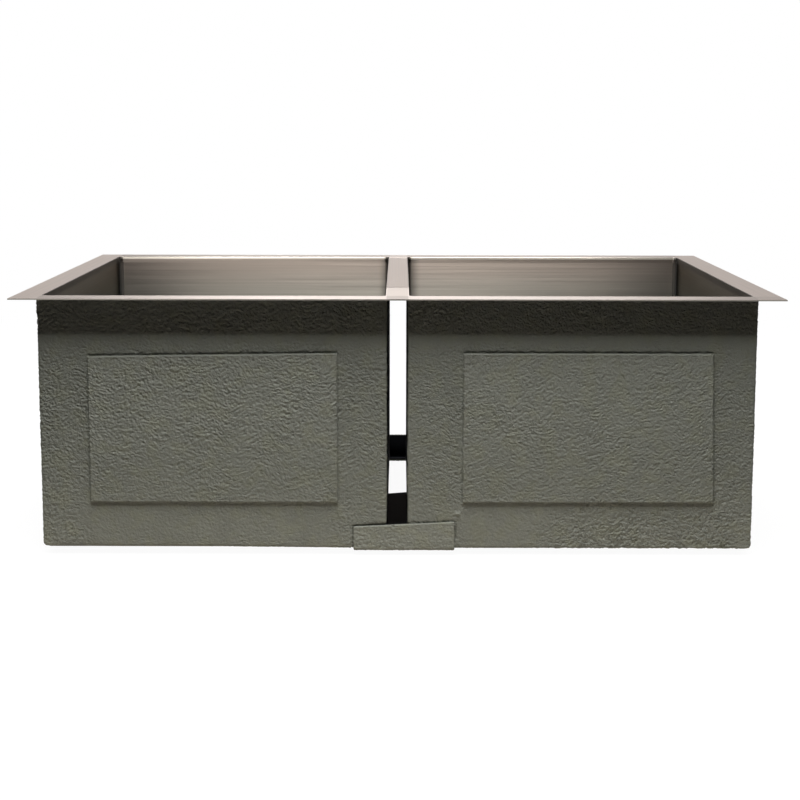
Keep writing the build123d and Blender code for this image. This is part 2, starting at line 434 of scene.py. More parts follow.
def steel_shader(shader, marks, anisotropy, across, grazing=RIM_GRAZING, **more):
    """Metal with the colour, roughness and relief of its brush marks, and the way across them."""
    feed(shader, {
        "Base Color": marks["Colour"], "Roughness": marks["Roughness"], "Metallic": 1.0,
        "Specular Tint": (*grazing, 1.0), "Anisotropic": anisotropy, "Tangent": across,
        "Normal": relief_normal(marks["Height"], MARK_DEPTH, 0.4, **more)})


def end_shade(x, ahead):
    """Painted shade on a bowl's end walls: darker towards the side walls and by the divider."""
    outer = remap(steel_high.x - abs(x), 0.014, 0.115, 0.8, 1.0)
    inner = pick(x < 0.0, remap(x, steel_low.x + 0.001, steel_low.x + 0.019, 0.24, 1.0),
                 remap(x, -steel_low.x - 0.015, -steel_low.x - 0.001, 1.0, 0.38))
    return pick(ahead > FACING, 1.0, outer * inner)


def rim_material(steel):
    """Satin rim: the side rails and the divider are brushed along Y, the others along X."""
    material, tree, shader, place = new_material("Satin rim steel")
    x, y, z = split(place)
    away = abs(x)
    side_rail = away > steel_high.x - SHEET
    divider = (away < steel_low.x + SHEET + 0.001) * ((y < strip_end) * (y > BLEND_END))
    along_y = work("MAXIMUM", side_rail, divider)
    true_normal = value(tree, "ShaderNodeNewGeometry", output="True Normal")
    facing = split(true_normal)
    sideways, ahead, steep = (abs(part) for part in facing)
    flat = remap(steep, 0.5, 0.97)
    upright = remap(steep, 0.2, 0.6, 1.0, 0.0)
    turning = 1.0 - work("MAXIMUM", flat, upright)
    # Painted shade on the rim's sheared outer edge
    outside = work("MAXIMUM", away > rim_high.x - EDGE_REACH, abs(y) > rim_high.y - EDGE_REACH)
    edge = work("MAXIMUM", remap(steep, 0.2, 0.5, steel.edge_shade, 1.0), 1.0 - outside)
    far = side_rail * flat

    # Painted light and shade on each part of the rim: the bends darker, the back ones most, the underside
    # darker, the divider darker at its near end and lighter behind it, the front strip darker towards the
    # middle and right, the back rail darker in its middle, and the flat side rails lighter
    below = remap(facing[2], -0.9, -0.5, 0.75, 0.0)
    near_end = (away < steel_low.x) * remap(y, BLEND_END, BLEND_END + 0.012, 0.26, -0.15)
    front = (y < steel_low.y + SHEET) * flat * remap(x, -0.24, 0.0, 0.0, 0.17)
    back = (y > steel_high.y - SHEET) * flat * remap(away, 0.0, 0.2, 0.2, 0.0)
    turned = turning * pick(y > 0.0, 0.1, 0.35)
    painted_shading = far * -0.22 + turned + (below + (near_end + front + back))
    # Painted shade also darkens the lips that face sideways
    tone = remap(sideways, 0.05, 0.3, 1.0, steel.side_shade) * edge * (1.0 - painted_shading)

    # A painted highlight: a bright line along the lips that face ahead, dimmer near the divider. Elsewhere
    # the lips take the bowls' painted end shade and the wall colour with its painted tints
    highlight_line = (ahead > FACING) * remap(z, -HIGHLIGHT_LINE_DEPTH - 0.0003, -HIGHLIGHT_LINE_DEPTH + 0.0003)
    tone = tone * pick(highlight_line, end_shade(x, ahead), remap(away, 0.0, 0.3, 0.75, 1.2))
    lip = mix(remap(sideways, 0.5, 0.95), tinted(steel.wall, UPPER_TINT),
              tinted(steel.wall, SIDE_LIP_TINT))
    lip = mix(highlight_line, lip, tinted(steel.rail, HIGHLIGHT_TINT))
    marks = use(tree, "Brushed marks", {
        "Vector": mix(along_y, join(x, y, z), join(y, x, z)),
        "Colour": scaled(mix(flat, lip, tuple(steel.rail)), tone),
        "Length": steel.grain_length, "Pitch": steel.grain_pitch,
        "Roughness": turning * 0.04 + 0.34 + (upright * 0.06 + far * 0.02), "Contrast": 0.5})
    across = mix(along_y, (0.02, 1.0, 0.1), (1.0, 0.02, 0.1))
    across = mix(sideways > 0.35, across, (0.0, 1.0, 0.01))
    steel_shader(shader, marks, 0.8, across, Normal=true_normal)
    return material


def bowl_material(steel):
    """Satin bowl: level marks on the walls, marks along X on the floor, rings in the dish."""
    material, tree, shader, place = new_material("Satin bowl steel")
    x, y, z = split(place)
    facing = split(value(tree, "ShaderNodeNewGeometry", output="Normal"))
    sideways, ahead, steep = (abs(part) for part in facing)
    from_middle = abs(x) - bowl_middle
    radius = work("SQRT", from_middle * from_middle + y * y)
    rings = join(work("ARCTAN2", y, from_middle) * 0.05, radius, z)
    in_dish = radius < DISH_RIM
    level = steep > FACING

    # Painted shade: the side walls are darker, and so are the corner fillets, less so by the divider; the
    # fillets also get a rougher, less metallic ground weld
    turned = sideways * ahead
    by_divider = abs(x) < bowl_middle
    weld_and_shade = remap(turned, 0.004, 0.04) * (1.0 - by_divider * 0.6)
    corner_painted_shade = remap(turned, 0.3, 0.49, steel.corner_shade * 0.5, steel.corner_shade * 0.8)
    side_wall_shade = remap(sideways, 0.5, 0.95, 1.0, steel.side_shade)
    tone = work("MINIMUM", side_wall_shade, pick(weld_and_shade, 1.0, corner_painted_shade)) * end_shade(x, ahead)

    # Painted reflection tints: warmer towards the top of the walls, cooler on the side walls
    warm = mix(remap(z, -0.050, -0.004), tinted(steel.wall, LOWER_TINT),
               tinted(steel.wall, UPPER_TINT))
    cooler = mix(remap(sideways, 0.5, 0.95), WHITE, SIDE_WALL_TINT)
    marks = use(tree, "Brushed marks", {
        "Vector": mix(in_dish, mix(level, join(x + y, z), join(x, y)), rings),
        "Colour": scaled(vector("MULTIPLY", warm, cooler), tone),
        "Length": steel.grain_length * 1.6, "Pitch": steel.grain_pitch,
        "Roughness": weld_and_shade * 0.2 + 0.40, "Contrast": 0.65})
    outward = join(from_middle * work("SIGN", x), y)
    across = mix(in_dish, mix(level, (0.01, 0.01, 1.0), (0.01, 1.0, 0.01)), outward)
    steel_shader(shader, marks, 0.85, across, BOWL_GRAZING)
    feed(shader, {"Metallic": 1.0 - weld_and_shade * 0.45})
    return material


def mill_and_shade_material(steel):
    """Dull steel of the ties, darkened to near black as painted shade."""
    material, tree, shader, place = new_material("Mill steel")
    marks = use(tree, "Brushed marks", {
        "Vector": place, "Colour": (*steel.mill, 1.0), "Length": 0.02, "Pitch": 0.002,
        "Roughness": 0.55, "Contrast": 0.2})
    steel_shader(shader, marks, 0.0, place)
    return material


def rubber_material():
    """Black rubber of the pads under the coat."""
    material, _, shader, place = new_material("Pad rubber")
    grain = noise(place, 700.0, 3.0)
    feed(shader, {
        "Base Color": scaled(RUBBER, remap(grain, 0.3, 0.7, 0.8, 1.2, False)),
        "Roughness": 0.85, "Normal": relief_normal(grain, 0.0002, 0.5)})
    return material


def coat_material(coat):
    """Grey-green coat with mottling, specks and fine ridges between the modelled ones."""
    material, tree, shader, place = new_material("Sprayed coat")
    # The shade attribute carries painted light and shade from the coat's mesh: dark grooves, crevices and gap
    # walls, lighter pads
    modelled, shade = (
        value(tree, "ShaderNodeAttribute", output="Fac", attribute_name=name) for name in ("relief", "shade"))
    grain = use(tree, "Sprayed grain", {
        "Vector": place, "Colour": (*coat.colour, 1.0), "Length": coat.length, "Pitch": coat.pitch,
        "Relief": coat.height, "Modelled": modelled, "Shade": shade})
    feed(shader, {
        "Base Color": grain["Colour"], "Roughness": grain["Roughness"], "Specular IOR Level": 0.22,
        "Normal": relief_normal(grain["Height"], 1.0)})
    return material


def spread(stops, pitch):
    """Positions through every stop, about a pitch apart between them."""
    places = [stops[0]]
    for here, there in zip(stops, stops[1:]):
        steps = max(1, round(abs(there - here) / pitch))
        places.extend(np.linspace(here, there, steps + 1)[1:])
    return np.array(places)


# Rows across a step in the coat, beyond its edge and inside it
EDGE_STOPS = np.array((3.4, 2.7, 2.0, 1.2, 0.5, 0.1, -0.35, -0.9, -1.7)) * MM


def edge_stops(low, high, every=2):
    """Close rows on both sides of the steps at the two ends of a pad."""
    steps = EDGE_STOPS[::every]
    return [*(low - steps), *(high + steps)]


def ordered(stops, low, high):
    """The stops that lie inside a range, with its ends, in order."""
    inside = [stop for stop in stops if low + 0.2 * MM < stop < high - 0.2 * MM]
    return [low, *sorted(inside), high]


def smooth(place, low, high):
    """0 below low, 1 above high, and a smooth ramp between."""
    t = np.clip((place - low) / (high - low), 0.0, 1.0)
    return t * t * (3.0 - 2.0 * t)


def band(place, low, high, soft):
    """1 between low and high, with soft ends."""
    return smooth(place, low - soft, low + soft) * (1.0 - smooth(place, high - soft, high + soft))


def ripple(along, pitch, seed):
    """A smooth random value from 0 to 1 along an edge."""
    turns = np.random.default_rng(seed).uniform(0.0, 2.0 * math.pi, 5)
    total = sum(np.sin(along / pitch * (1.0 + 0.73 * k) + turn) for k, turn in enumerate(turns))
    return np.clip(0.5 + total / 5.0, 0.0, 1.0)


class Skin:
    """Points and faces that are collected panel by panel."""

    def __init__(self):
        self.points = []
        self.faces = []
        self.relief = []
        self.shade = []

    def add(self, points, relief=1.0, shade=1.0):
        """Adds points and gives their numbers, in the shape they came in."""
        points = np.asarray(points, float)
        first = len(self.points)
        flat = points.reshape(-1, 3)
        self.points.extend(flat)
        self.relief.extend(np.broadcast_to(relief, points.shape[:-1]).ravel())
        self.shade.extend(np.broadcast_to(shade, points.shape[:-1]).ravel())
        return np.arange(first, first + len(flat)).reshape(points.shape[:-1])

    def panel(self, points, relief=1.0, keep=None, shade=1.0):
        """Adds a grid of points with its quads, and leaves out the quads that keep says no to."""
        grid = self.add(points, relief, shade)
        a, b, c, d = grid[:-1, :-1], grid[1:, :-1], grid[1:, 1:], grid[:-1, 1:]
        quads = np.stack((a, b, c, d), -1)
        quads = quads.reshape(-1, 4) if keep is None else quads[keep]
        self.faces.extend(map(tuple, quads.tolist()))
        return grid

    def stitch(self, here, there, goes_on):
        """Fills a strip with triangles. Goes_on says if the first row is the one to move along."""
        i = j = 0
        while i < len(here) - 1 or j < len(there) - 1:
            if goes_on(i, j):
                self.faces.append((here[i], there[j], here[i + 1]))
                i += 1
            else:
                self.faces.append((here[i], there[j], there[j + 1]))
                j += 1

    def zip(self, here, there, closed=False):
        """Fills the strip between two rows of points, by their distances."""
        here, there = list(here), list(there)
        if closed:
            gaps = [np.linalg.norm(self.points[k] - self.points[here[0]]) for k in there]
            turn = int(np.argmin(gaps))
            there = there[turn:] + there[:turn]
            here.append(here[0])
            there.append(there[0])

        def gap(i, j):
            if i == len(here) or j == len(there):
                return math.inf
            return np.linalg.norm(self.points[here[i]] - self.points[there[j]])

        self.stitch(here, there, lambda i, j: gap(i + 1, j) <= gap(i, j + 1))

    def ring(self, here, there, middle):
        """Fills the flat ring between two loops round a middle, by the angle of their points."""
        rows = []
        for loop in (here, there):
            points = np.array([self.points[k] for k in loop])
            angle = np.arctan2(points[:, 1] - middle[1], points[:, 0] - middle[0])
            order = np.argsort(angle)
            numbers = [loop[k] for k in order]
            rows.append((numbers + numbers[:1], [*angle[order], angle[order[0]] + 2.0 * math.pi]))
        (a, angle_a), (b, angle_b) = rows
        self.stitch(a, b, lambda i, j: j == len(b) - 1 or (
            i < len(a) - 1 and angle_a[i + 1] <= angle_b[j + 1]))

    def mesh(self, name):
        """The finished closed mesh, facing outwards, with its relief and shade as attributes."""
        mesh = bpy.data.meshes.new(name)
        mesh.from_pydata([tuple(p) for p in self.points], [], self.faces)
        for kept, values in (("relief", self.relief), ("shade", self.shade)):
            mesh.attributes.new(kept, "FLOAT", "POINT").data.foreach_set(
                "value", np.array(values, np.float32))
        made = bmesh.new()
        made.from_mesh(mesh)
        bmesh.ops.recalc_face_normals(made, faces=made.faces)
        made.to_mesh(mesh)
        made.free()
        mesh.shade_smooth()
        return mesh


# Steps of a coat's corner curve
CORNER_STEPS = 5


class Wall:
    """One side of a bowl's coat: where its points are, and what lies under the coat there."""

    def __init__(self, face, side, outer):
        self.face, self.side = face, side
        self.curved = face in ("front", "rear")
        coat, film = (COAT, film_gap) if outer else (0.0, 0.0)
        self.corner, self.fold = (COAT_CORNER, COAT_FOLD) if outer else (STEEL_CORNER, STEEL_FOLD)
        self.near = steel_low.x - film
        self.far = steel_high.x + coat
        self.end = steel_high.y + coat
        self.top = coat_high.z
        self.bottom = BASE_LEVEL - coat

    def span(self):
        """The lowest and highest place along this wall, between the corner curves."""
        if self.curved:
            return self.near + self.corner, self.far - self.corner
        return -self.end + self.corner, self.end - self.corner

    def spots(self, along):
        """Plan points, outward directions and inward shifts along the wall."""
        low, high = self.span()
        out = [(place, 0.0) for place in along]
        if self.curved:
            before = [(low, 90.0 * k / CORNER_STEPS - 90.0) for k in range(CORNER_STEPS)]
            after = [(high, 90.0 * k / CORNER_STEPS) for k in range(1, CORNER_STEPS + 1)]
            out = before + out + after
        else:
            out = out[1:-1]
        rows = []
        for place, degrees in out:
            turn = math.radians(degrees)
            lean = 2.0 * (place - low) / (high - low) - 1.0
            rows.append((place + self.corner * math.sin(turn), self.corner * (1.0 - math.cos(turn)),
                         math.sin(turn), math.cos(turn), lean))
        return np.array(rows)

    def plan(self, row):
        """World X, Y, outward X, Y and inward X, Y of rows of (along, in, lean out, straight out, lean)."""
        along, inward, tilt, out, lean = row.T
        if self.curved:
            way = -1.0 if self.face == "front" else 1.0
            x, y = along, way * (self.end - inward)
            nx, ny = tilt, way * out
            dx, dy = -lean, np.full_like(lean, -way)
        else:
            way = 1.0 if self.face == "side" else -1.0
            edge = self.far if self.face == "side" else self.near
            x, y = edge - way * inward, along
            nx, ny = way * out, tilt
            dx, dy = np.full_like(lean, -way), -lean
        return self.side * x, y, self.side * nx, ny, self.side * dx, dy


def wall_points(wall, rows, drops, fold_steps, swell, warp):
    """A grid of points from the rim down a wall and round the bottom fold."""
    x, y, nx, ny, dx, dy = wall.plan(rows)
    levels = [(z, 0.0) for z in drops] + [
        (wall.bottom + wall.fold, math.radians(90.0 * k / fold_steps)) for k in range(1, fold_steps + 1)]
    grid, tones = [], []
    for z, turn in levels:
        inset = wall.fold * (1.0 - math.cos(turn))
        level = z - wall.fold * math.sin(turn)
        lift, tone = swell(rows[:, 0], np.full(len(x), level))
        shift_a, shift_z = warp(rows[:, 0], np.full(len(x), level))
        px = x + dx * inset + nx * lift * math.cos(turn) + shift_a * wall.side
        py = y + dy * inset + ny * lift * math.cos(turn)
        pz = level - lift * math.sin(turn) + shift_z
        grid.append(np.stack((px, py, pz), -1))
        tones.append(tone)
    return np.stack(grid, 1), np.stack(tones, 1)


# How far outside a pad's edge the coat starts to rise, and how far inside it's up
PAD_STEP = (-0.45 * MM, 0.55 * MM)


def pad_lift(along, level, box, seed, groove):
    """Height of the coat over a pad, with the ragged groove at its top and its sides, and its painted light
    and shade.
    """
    low_a, high_a, low_z, high_z = box
    over = level - high_z
    sides = np.minimum(along - low_a, high_a - along)
    inside = np.minimum(np.minimum(sides, -over), level - low_z)
    lift = PAD * smooth(inside, *PAD_STEP)
    # Painted light: the upper part of a pad's face is lighter
    lit = 0.16 * smooth(inside, 0.0, 2.0 * MM) * smooth(level, -0.20, -0.08)
    bead = 0.3 * MM * band(inside, 0.1 * MM, 1.2 * MM, 0.4 * MM) * ripple(along + level, 3.0 * MM, seed + 2)
    burr = smooth(ripple(along, 2.3 * MM, seed + 4), 0.84, 0.95) * band(over, -0.9 * MM, 0.2 * MM, 0.3 * MM)
    burr = 1.1 * MM * burr * (sides > 0.0)
    top_open = ripple(along, 9.0 * MM, seed)
    edge = 1.9 * MM + 1.5 * MM * (ripple(along, 2.0 * MM, seed + 3) - 0.5)
    top = band(over, 0.3 * MM, edge, 0.35 * MM) * smooth(sides, -1.0 * MM, 1.5 * MM)
    side = band(-sides, 0.2 * MM, 1.0 * MM, 0.3 * MM) * band(level, low_z, high_z, 1.0 * MM)
    side_open = ripple(level, 5.0 * MM, seed + 1)
    # The groove also darkens the colour, as painted shade
    cut = top * (0.72 + 0.28 * top_open) + 0.55 * side * (0.2 + 0.8 * side_open)
    return lift + bead + burr - groove * cut, 1.0 + lit - 0.16 * cut


def tie_mark(x, level):
    """Depth of the crevice in the bowls' coat round the front tie and height of the lump beside it, with
    painted shade in the crevice and a painted highlight on the lump.
    """
    left, right = tie_coat_low.x, tie_coat_high.x
    over = level - (tie_coat_high.z - TIE_SKEW * (right - x) / (right - left))
    open_here = np.where(x < 0.0, 1.0, 0.8 * smooth(ripple(x, 1.4 * MM, 7), 0.35, 0.7))
    top = band(over, -0.6 * MM, 1.3 * MM, 0.4 * MM) * band(x, left - 0.5 * MM, right, 0.5 * MM) * open_here
    left_side = 0.8 * band(left - x, -0.2 * MM, 1.0 * MM, 0.3 * MM) * (over < 0.0)
    crack = band(x - right, -0.4 * MM, 1.4 * MM, 0.4 * MM) * band(
        over, -18.0 * MM, -2.0 * MM, 2.0 * MM) * (0.4 + 0.6 * ripple(level, 1.6 * MM, 9))
    cut = np.maximum(np.maximum(top, left_side), crack)
    away = np.hypot((x - right - 3.6 * MM) / (2.2 * MM), (over - 8.0 * MM) / (1.6 * MM))
    lump = np.exp(-away ** 2)
    return 2.2 * MM * lump - 1.4 * MM * cut, 1.0 - 0.55 * cut + 0.3 * lump


def coat_mesh(hand, side):
    """The whole sprayed coat of one bowl: its rough outside, its plain inside and its edges."""
    skin = Skin()
    outer, inner = (coat_surface(skin, side, rough) for rough in (True, False))
    for here, there in zip(outer, inner):
        skin.zip(here, there, closed=True)
    return skin.mesh(f"{hand}_sprayed_coat")


def pad_box(face, side):
    """The low and high place along a wall, and the low and high level, of a wall's pad."""
    name = {-1: "left", 1: "right"}[side]
    low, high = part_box(f"{name}_{face}_pad")
    if face == "side":
        return low.y, high.y, low.z, high.z
    flare = PAD_FLARE if face == "front" and side > 0 else 0.0
    ends = sorted((side * low.x, side * high.x))
    return ends[0], ends[1] - flare, low.z, high.z


def front_warp(along, level, side, box):
    """How far the front pad's hand-cut edges lie from a true rectangle, as a smooth shift."""
    low_a, high_a, low_z, high_z = box
    across = (along - low_a) / (high_a - low_a)
    if side < 0:
        near_top = np.clip(1.0 - np.abs(level - high_z) / (50.0 * MM), 0.0, 1.0)
        low_edge = smooth(-level, 0.235, 0.252) * np.clip(across, -0.2, 1.2)
        return 0.0 * along, 1.9 * MM * low_edge - PAD_SKEW * np.clip(across, 0.0, 1.0) * near_top
    down = np.clip((high_z - level) / (high_z - low_z), 0.0, 1.0)
    down = np.where(level < low_z, np.clip(1.0 - (low_z - level) / (35.0 * MM), 0.0, 1.0), down)
    reach = np.clip(1.0 - np.abs(along - high_a) / (30.0 * MM), 0.0, 1.0)
    return PAD_FLARE * down * reach, 0.0 * along


def plain(along, level, tone=0.0):
    """No height and one shade, or no shift at all."""
    return 0.0 * along, tone + 0.0 * along


def front_swell(along, level, side, **pad):
    """A front wall's height and painted light and shade: its pad, and the marks round the tie."""
    lift, tone = pad_lift(along, level, **pad)
    mark, dark = tie_mark(side * along, level)
    return lift + mark, tone * dark


# The coat's pitch along and down each wall, in mm, and how strong its relief is there
COAT_PITCH = {"front": (1.75, 1.1), "side": (3.4, 3.0), "rear": (3.6, 3.0), "gap": (9.0, 9.0)}
INNER_PITCH = (60.0, 60.0)
COAT_RELIEF = {"front": 0.5, "side": 1.6, "rear": 0.35, "gap": 0.35}
BASE_RELIEF = 0.35
EDGE_RELIEF = 1.6
# Painted shade: the coat's colour is darkened on the walls in the gap between the bowls
GAP_SHADE = 0.09
INNER_GAP_SHADE = 0.45
GROOVE = 1.3 * MM


def coat_surface(skin, side, outer):
    """One surface of a bowl's coat, outer or inner. Gives its top loop and its loop round the drain."""
    panels = []
    for number, (face, pitches) in enumerate(COAT_PITCH.items()):
        wall = Wall(face, side, outer)
        detailed = face == "front" and outer
        stops_a, stops_z = [], []
        warp = plain
        if face == "gap":
            swell = partial(plain, tone=GAP_SHADE if outer else INNER_GAP_SHADE)
        else:
            box = pad_box(face, side)
            every = 1 if detailed else 2
            stops_a = edge_stops(*box[:2], every)
            stops_z = edge_stops(*box[2:], every)
            swell = partial(front_swell, side=side) if detailed else pad_lift
            swell = partial(
                swell, box=box, seed=number + 10 * side + 20, groove=GROOVE if outer else 0.0)
        if face == "front":
            warp = partial(front_warp, side=side, box=box)
        pitch_a, pitch_z = (pitch * MM for pitch in (pitches if outer else INNER_PITCH))
        rows = wall.spots(spread(ordered(stops_a, *wall.span()), pitch_a))
        drops = spread(ordered(stops_z, wall.bottom + wall.fold, wall.top), pitch_z)[::-1]
        fold_steps = 8 if detailed else CORNER_STEPS
        points, tones = wall_points(wall, rows, drops, fold_steps, swell, warp)
        relief = np.full(tones.shape, COAT_RELIEF[face] if outer else 0.0)
        if detailed:
            relief[:, -fold_steps:] = EDGE_RELIEF
            relief[:CORNER_STEPS] = relief[-CORNER_STEPS:] = EDGE_RELIEF
        panels.append(skin.panel(points, relief, shade=tones))
    order = [*panels[:2], *(panel[::-1] for panel in panels[2:])]
    for here, there in zip(order, order[1:] + order[:1]):
        skin.zip(here[-1], there[0])
    top = np.concatenate([p[:, 0] for p in order])
    foot = np.concatenate([p[:, -1] for p in order])
    return top, base_surface(skin, side, outer, foot)


def base_depth(x, y):
    """How far the underside falls towards the drain, with x from the bowl's middle."""
    half_x = (steel_high.x - steel_low.x) / 2 - SHEET - FLOOR_BORDER
    half_y = steel_high.y - SHEET - FLOOR_BORDER
    fall_x = (half_x - np.abs(x)) / (half_x - SLOPE_END / 2)
    fall_y = (half_y - np.abs(y)) / (half_y - SLOPE_END / 2)
    return FLOOR_FALL * np.clip(np.minimum(fall_x, fall_y), 0.0, 1.0)


def base_surface(skin, side, outer, foot):
    """The underside of the coat inside the loop at its foot, up to the round edge at the drain."""
    wall = Wall("front", side, outer)
    pitch, from_fold, from_mask = (
        size * MM for size in ((5.0, 3.0, 1.2) if outer else (40.0, 12.0, 6.0)))
    rim = wall.fold + from_fold
    low_x, high_x = wall.near + rim - bowl_middle, wall.far - rim - bowl_middle
    high_y = wall.end - rim
    pad_x = (base_high.x - base_low.x) / 2
    pad_near, pad_far = -base_high.y, -base_low.y
    y_stops = edge_stops(pad_near, pad_far) + edge_stops(-pad_far, -pad_near)
    xs = spread(ordered(edge_stops(-pad_x, pad_x), low_x, high_x), pitch)
    ys = spread(ordered(y_stops, -high_y, high_y), pitch)
    x, y = np.meshgrid(xs, ys, indexing="ij")
    inside = np.minimum(pad_x - np.abs(x), np.minimum(np.abs(y) - pad_near, pad_far - np.abs(y)))
    z = wall.bottom - base_depth(x, y) - PAD * smooth(inside, *PAD_STEP)
    points = np.stack((side * (bowl_middle + x), y, z), -1)
    clear = np.hypot(x, y) > SPRAY_MASK + from_mask
    keep = clear[:-1, :-1] & clear[1:, :-1] & clear[1:, 1:] & clear[:-1, 1:]
    grid = skin.panel(points, BASE_RELIEF if outer else 0.0, keep)
    skin.zip(foot, border(grid), closed=True)
    turns = np.linspace(0.0, 2.0 * math.pi, 120, endpoint=False)
    ragged = SPRAY_MASK + 0.5 * MM * (ripple(turns, 0.11, 5) - 0.5)
    cx, cy = ragged * np.cos(turns), ragged * np.sin(turns)
    cz = wall.bottom - base_depth(cx, cy)
    ring = skin.add(np.stack((side * (bowl_middle + cx), cy, cz), -1), 0.0)
    skin.ring(list(ring), hole_border(grid, keep), (side * bowl_middle, 0.0))
    return ring


def border(grid):
    """The points round a panel, in order."""
    return np.concatenate((grid[:, 0], grid[-1, 1:], grid[-2::-1, -1], grid[0, -2:0:-1]))


def hole_border(grid, keep):
    """The points between the quads that are kept and the hole."""
    kept = keep.astype(int)
    around = kept[:-1, :-1] + kept[1:, :-1] + kept[:-1, 1:] + kept[1:, 1:]
    return grid[1:-1, 1:-1][(around > 0) & (around < 4)]


def tie_coat_mesh(name, face):
    """The coat on the outside of a tie: rough outside, plain inside, and soft edges."""
    low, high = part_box(name)
    steel_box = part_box(name.replace("_coat", ""))
    left, right, top = low.x, high.x, high.z
    front = face < 0
    end = steel_box[1].y if front else -steel_box[0].y
    skew, leg_skew = (TIE_SKEW, TIE_LEG_SKEW) if front else (0.0, 0.0)
    soft = np.array((0.3, 0.7, 1.3)) * MM
    skin = Skin()
    loops = []
    for outer in (True, False):
        off = TIE_SHEET + (COAT if outer else 0.0)
        fold = COAT_FOLD if outer else STEEL_FOLD + TIE_SHEET
        pitch, wear = (1.3 * MM, 0.9 * MM) if outer else (50.0 * MM, 0.0)
        wall, base = steel_high.y + off, BASE_LEVEL - off
        down = top - base - fold
        bend = math.pi / 2 * fold
        under = wall - fold + end
        near = min(40.0 * MM, under / 2)
        runs = [0.0, *soft, down, down + bend, down + bend + near]
        run = list(spread(runs, pitch))
        far = down + bend + under
        run += list(spread([run[-1], far - soft[2]], 3.0 * pitch)[1:]) + [far - soft[1], far - soft[0], far]
        xs = spread([left, *(left + soft), *(right - soft[::-1]), right], pitch)
        share = (right - xs) / (right - left)
        grid = []
        for s in run:
            past = s - down - bend
            if s <= down:
                y, z, out, under_part = wall, top - s, 1.0, 0.0
            elif past <= 0.0:
                turn = (s - down) / fold
                out, under_part = math.cos(turn), math.sin(turn)
                y, z = wall - fold + fold * out, base + fold - fold * under_part
            else:
                y, z, out, under_part = wall - fold - past, base, 0.0, 1.0
            lower = skew * share * (1.0 - min(1.0, s / down))
            shorter = leg_skew * share * max(0.0, past / under)
            inside = np.minimum(np.minimum(xs - left, right - xs), min(s, far - s))
            worn = 0.35 + 0.65 * ripple(xs, 2.0 * MM, 3)
            sink = wear * worn * (1.0 - smooth(inside, -0.2 * MM, 0.9 * MM))
            grid.append(np.stack(
                (xs, face * (y + shorter - out * sink), z + under_part * sink - lower), -1))
        # Painted light and shade: the tie's outer coat is lighter and its inner side near black
        panel = skin.panel(np.stack(grid, 1), 1.0 if outer else 0.0, shade=1.12 if outer else 0.06)
        loops.append(border(panel))
    skin.zip(loops[0], loops[1], closed=True)
    return skin.mesh(name.replace("_coat", "_sprayed_coat"))


def relief_tree():
    """Geometry nodes that raise short level ridges on a mesh, where its relief attribute allows."""
    tree, get, end = group(
        "Sprayed relief", "GeometryNodeTree",
        [("Geometry", "Geometry", None), ("Height", "Float", 0.0008), ("Ridge Length", "Float", 0.0075),
         ("Ridge Pitch", "Float", 0.004), ("Material", "Material", None)],
        [("Geometry", "Geometry")])
    place = value(tree, "GeometryNodeInputPosition")
    ridges = ridge_height(place, get["Ridge Length"], get["Ridge Pitch"]) * get["Height"]
    wave = (noise(place, 22.0) - 0.5) * (get["Height"] * 1.2)
    mask = value(tree, "GeometryNodeInputNamedAttribute", {"Name": "relief"}, "Attribute", data_type="FLOAT")
    offset = scaled(value(tree, "GeometryNodeInputNormal"), (ridges + wave) * mask)
    moved = value(tree, "GeometryNodeSetPosition", {"Geometry": get["Geometry"], "Offset": offset})
    real = value(tree, "GeometryNodeRealizeInstances", {"Geometry": moved})
    painted = value(tree, "GeometryNodeSetMaterial", {"Geometry": real, "Material": get["Material"]})
    feed(end, {"Geometry": painted})
    return tree


def run_tree(obj, tree, values):
    """Runs geometry nodes on an object and keeps the result as its plain mesh."""
    modifier = obj.modifiers.new(tree.name, "NODES")
    modifier.node_group = tree
    for item in tree.interface.items_tree:
        if item.in_out == "INPUT" and item.name in values:
            modifier[item.identifier] = values[item.name]
    obj.update_tag()
    bpy.context.view_layer.update()
    shaped = obj.evaluated_get(bpy.context.evaluated_depsgraph_get())
    mesh = bpy.data.meshes.new_from_object(shaped)
    old = obj.data
    obj.modifiers.clear()
    obj.data = mesh
    bpy.data.meshes.remove(old)


def add_coat(mesh, coat, tree, material, node_name):
    """Puts a coat mesh in the scene, raises its relief and ties it to the part."""
    obj = put(mesh.name, mesh)
    run_tree(obj, tree, {
        "Height": coat.height, "Ridge Length": coat.length, "Ridge Pitch": coat.pitch,
        "Material": material})
    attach(obj, "root")
    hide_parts(node_name)


def finish(names, material):
    """Gives the named objects of the part one material."""
    for name in names:
        nodes[name].data.materials.clear()
        nodes[name].data.materials.append(material)
    return {"FINISHED"}


class SINK_OT_rim(bpy.types.Operator):
    """Give the rim and the divider their satin finish"""

    bl_idname = "sink.rim"
    bl_label = "Finish rim"

    def execute(self, context):
        return finish(("rim_frame", "divider_strip"), rim_material(context.scene.sink_steel))


class SINK_OT_bowls(bpy.types.Operator):
    """Give the bowls their satin finish"""

    bl_idname = "sink.bowls"
    bl_label = "Finish bowls"

    def execute(self, context):
        return finish([f"{hand}_bowl" for hand in HANDS], bowl_material(context.scene.sink_steel))


class SINK_OT_ties(bpy.types.Operator):
    """Give the ties their dull finish"""

    bl_idname = "sink.ties"
    bl_label = "Finish ties"

    def execute(self, context):
        return finish(("front_tie", "rear_tie"), mill_and_shade_material(context.scene.sink_steel))


class SINK_OT_pads(bpy.types.Operator):
    """Give the pads under the coat their rubber"""

    bl_idname = "sink.pads"
    bl_label = "Finish pads"

    def execute(self, context):
        return finish([name for name in nodes if name.endswith("_pad")], rubber_material())


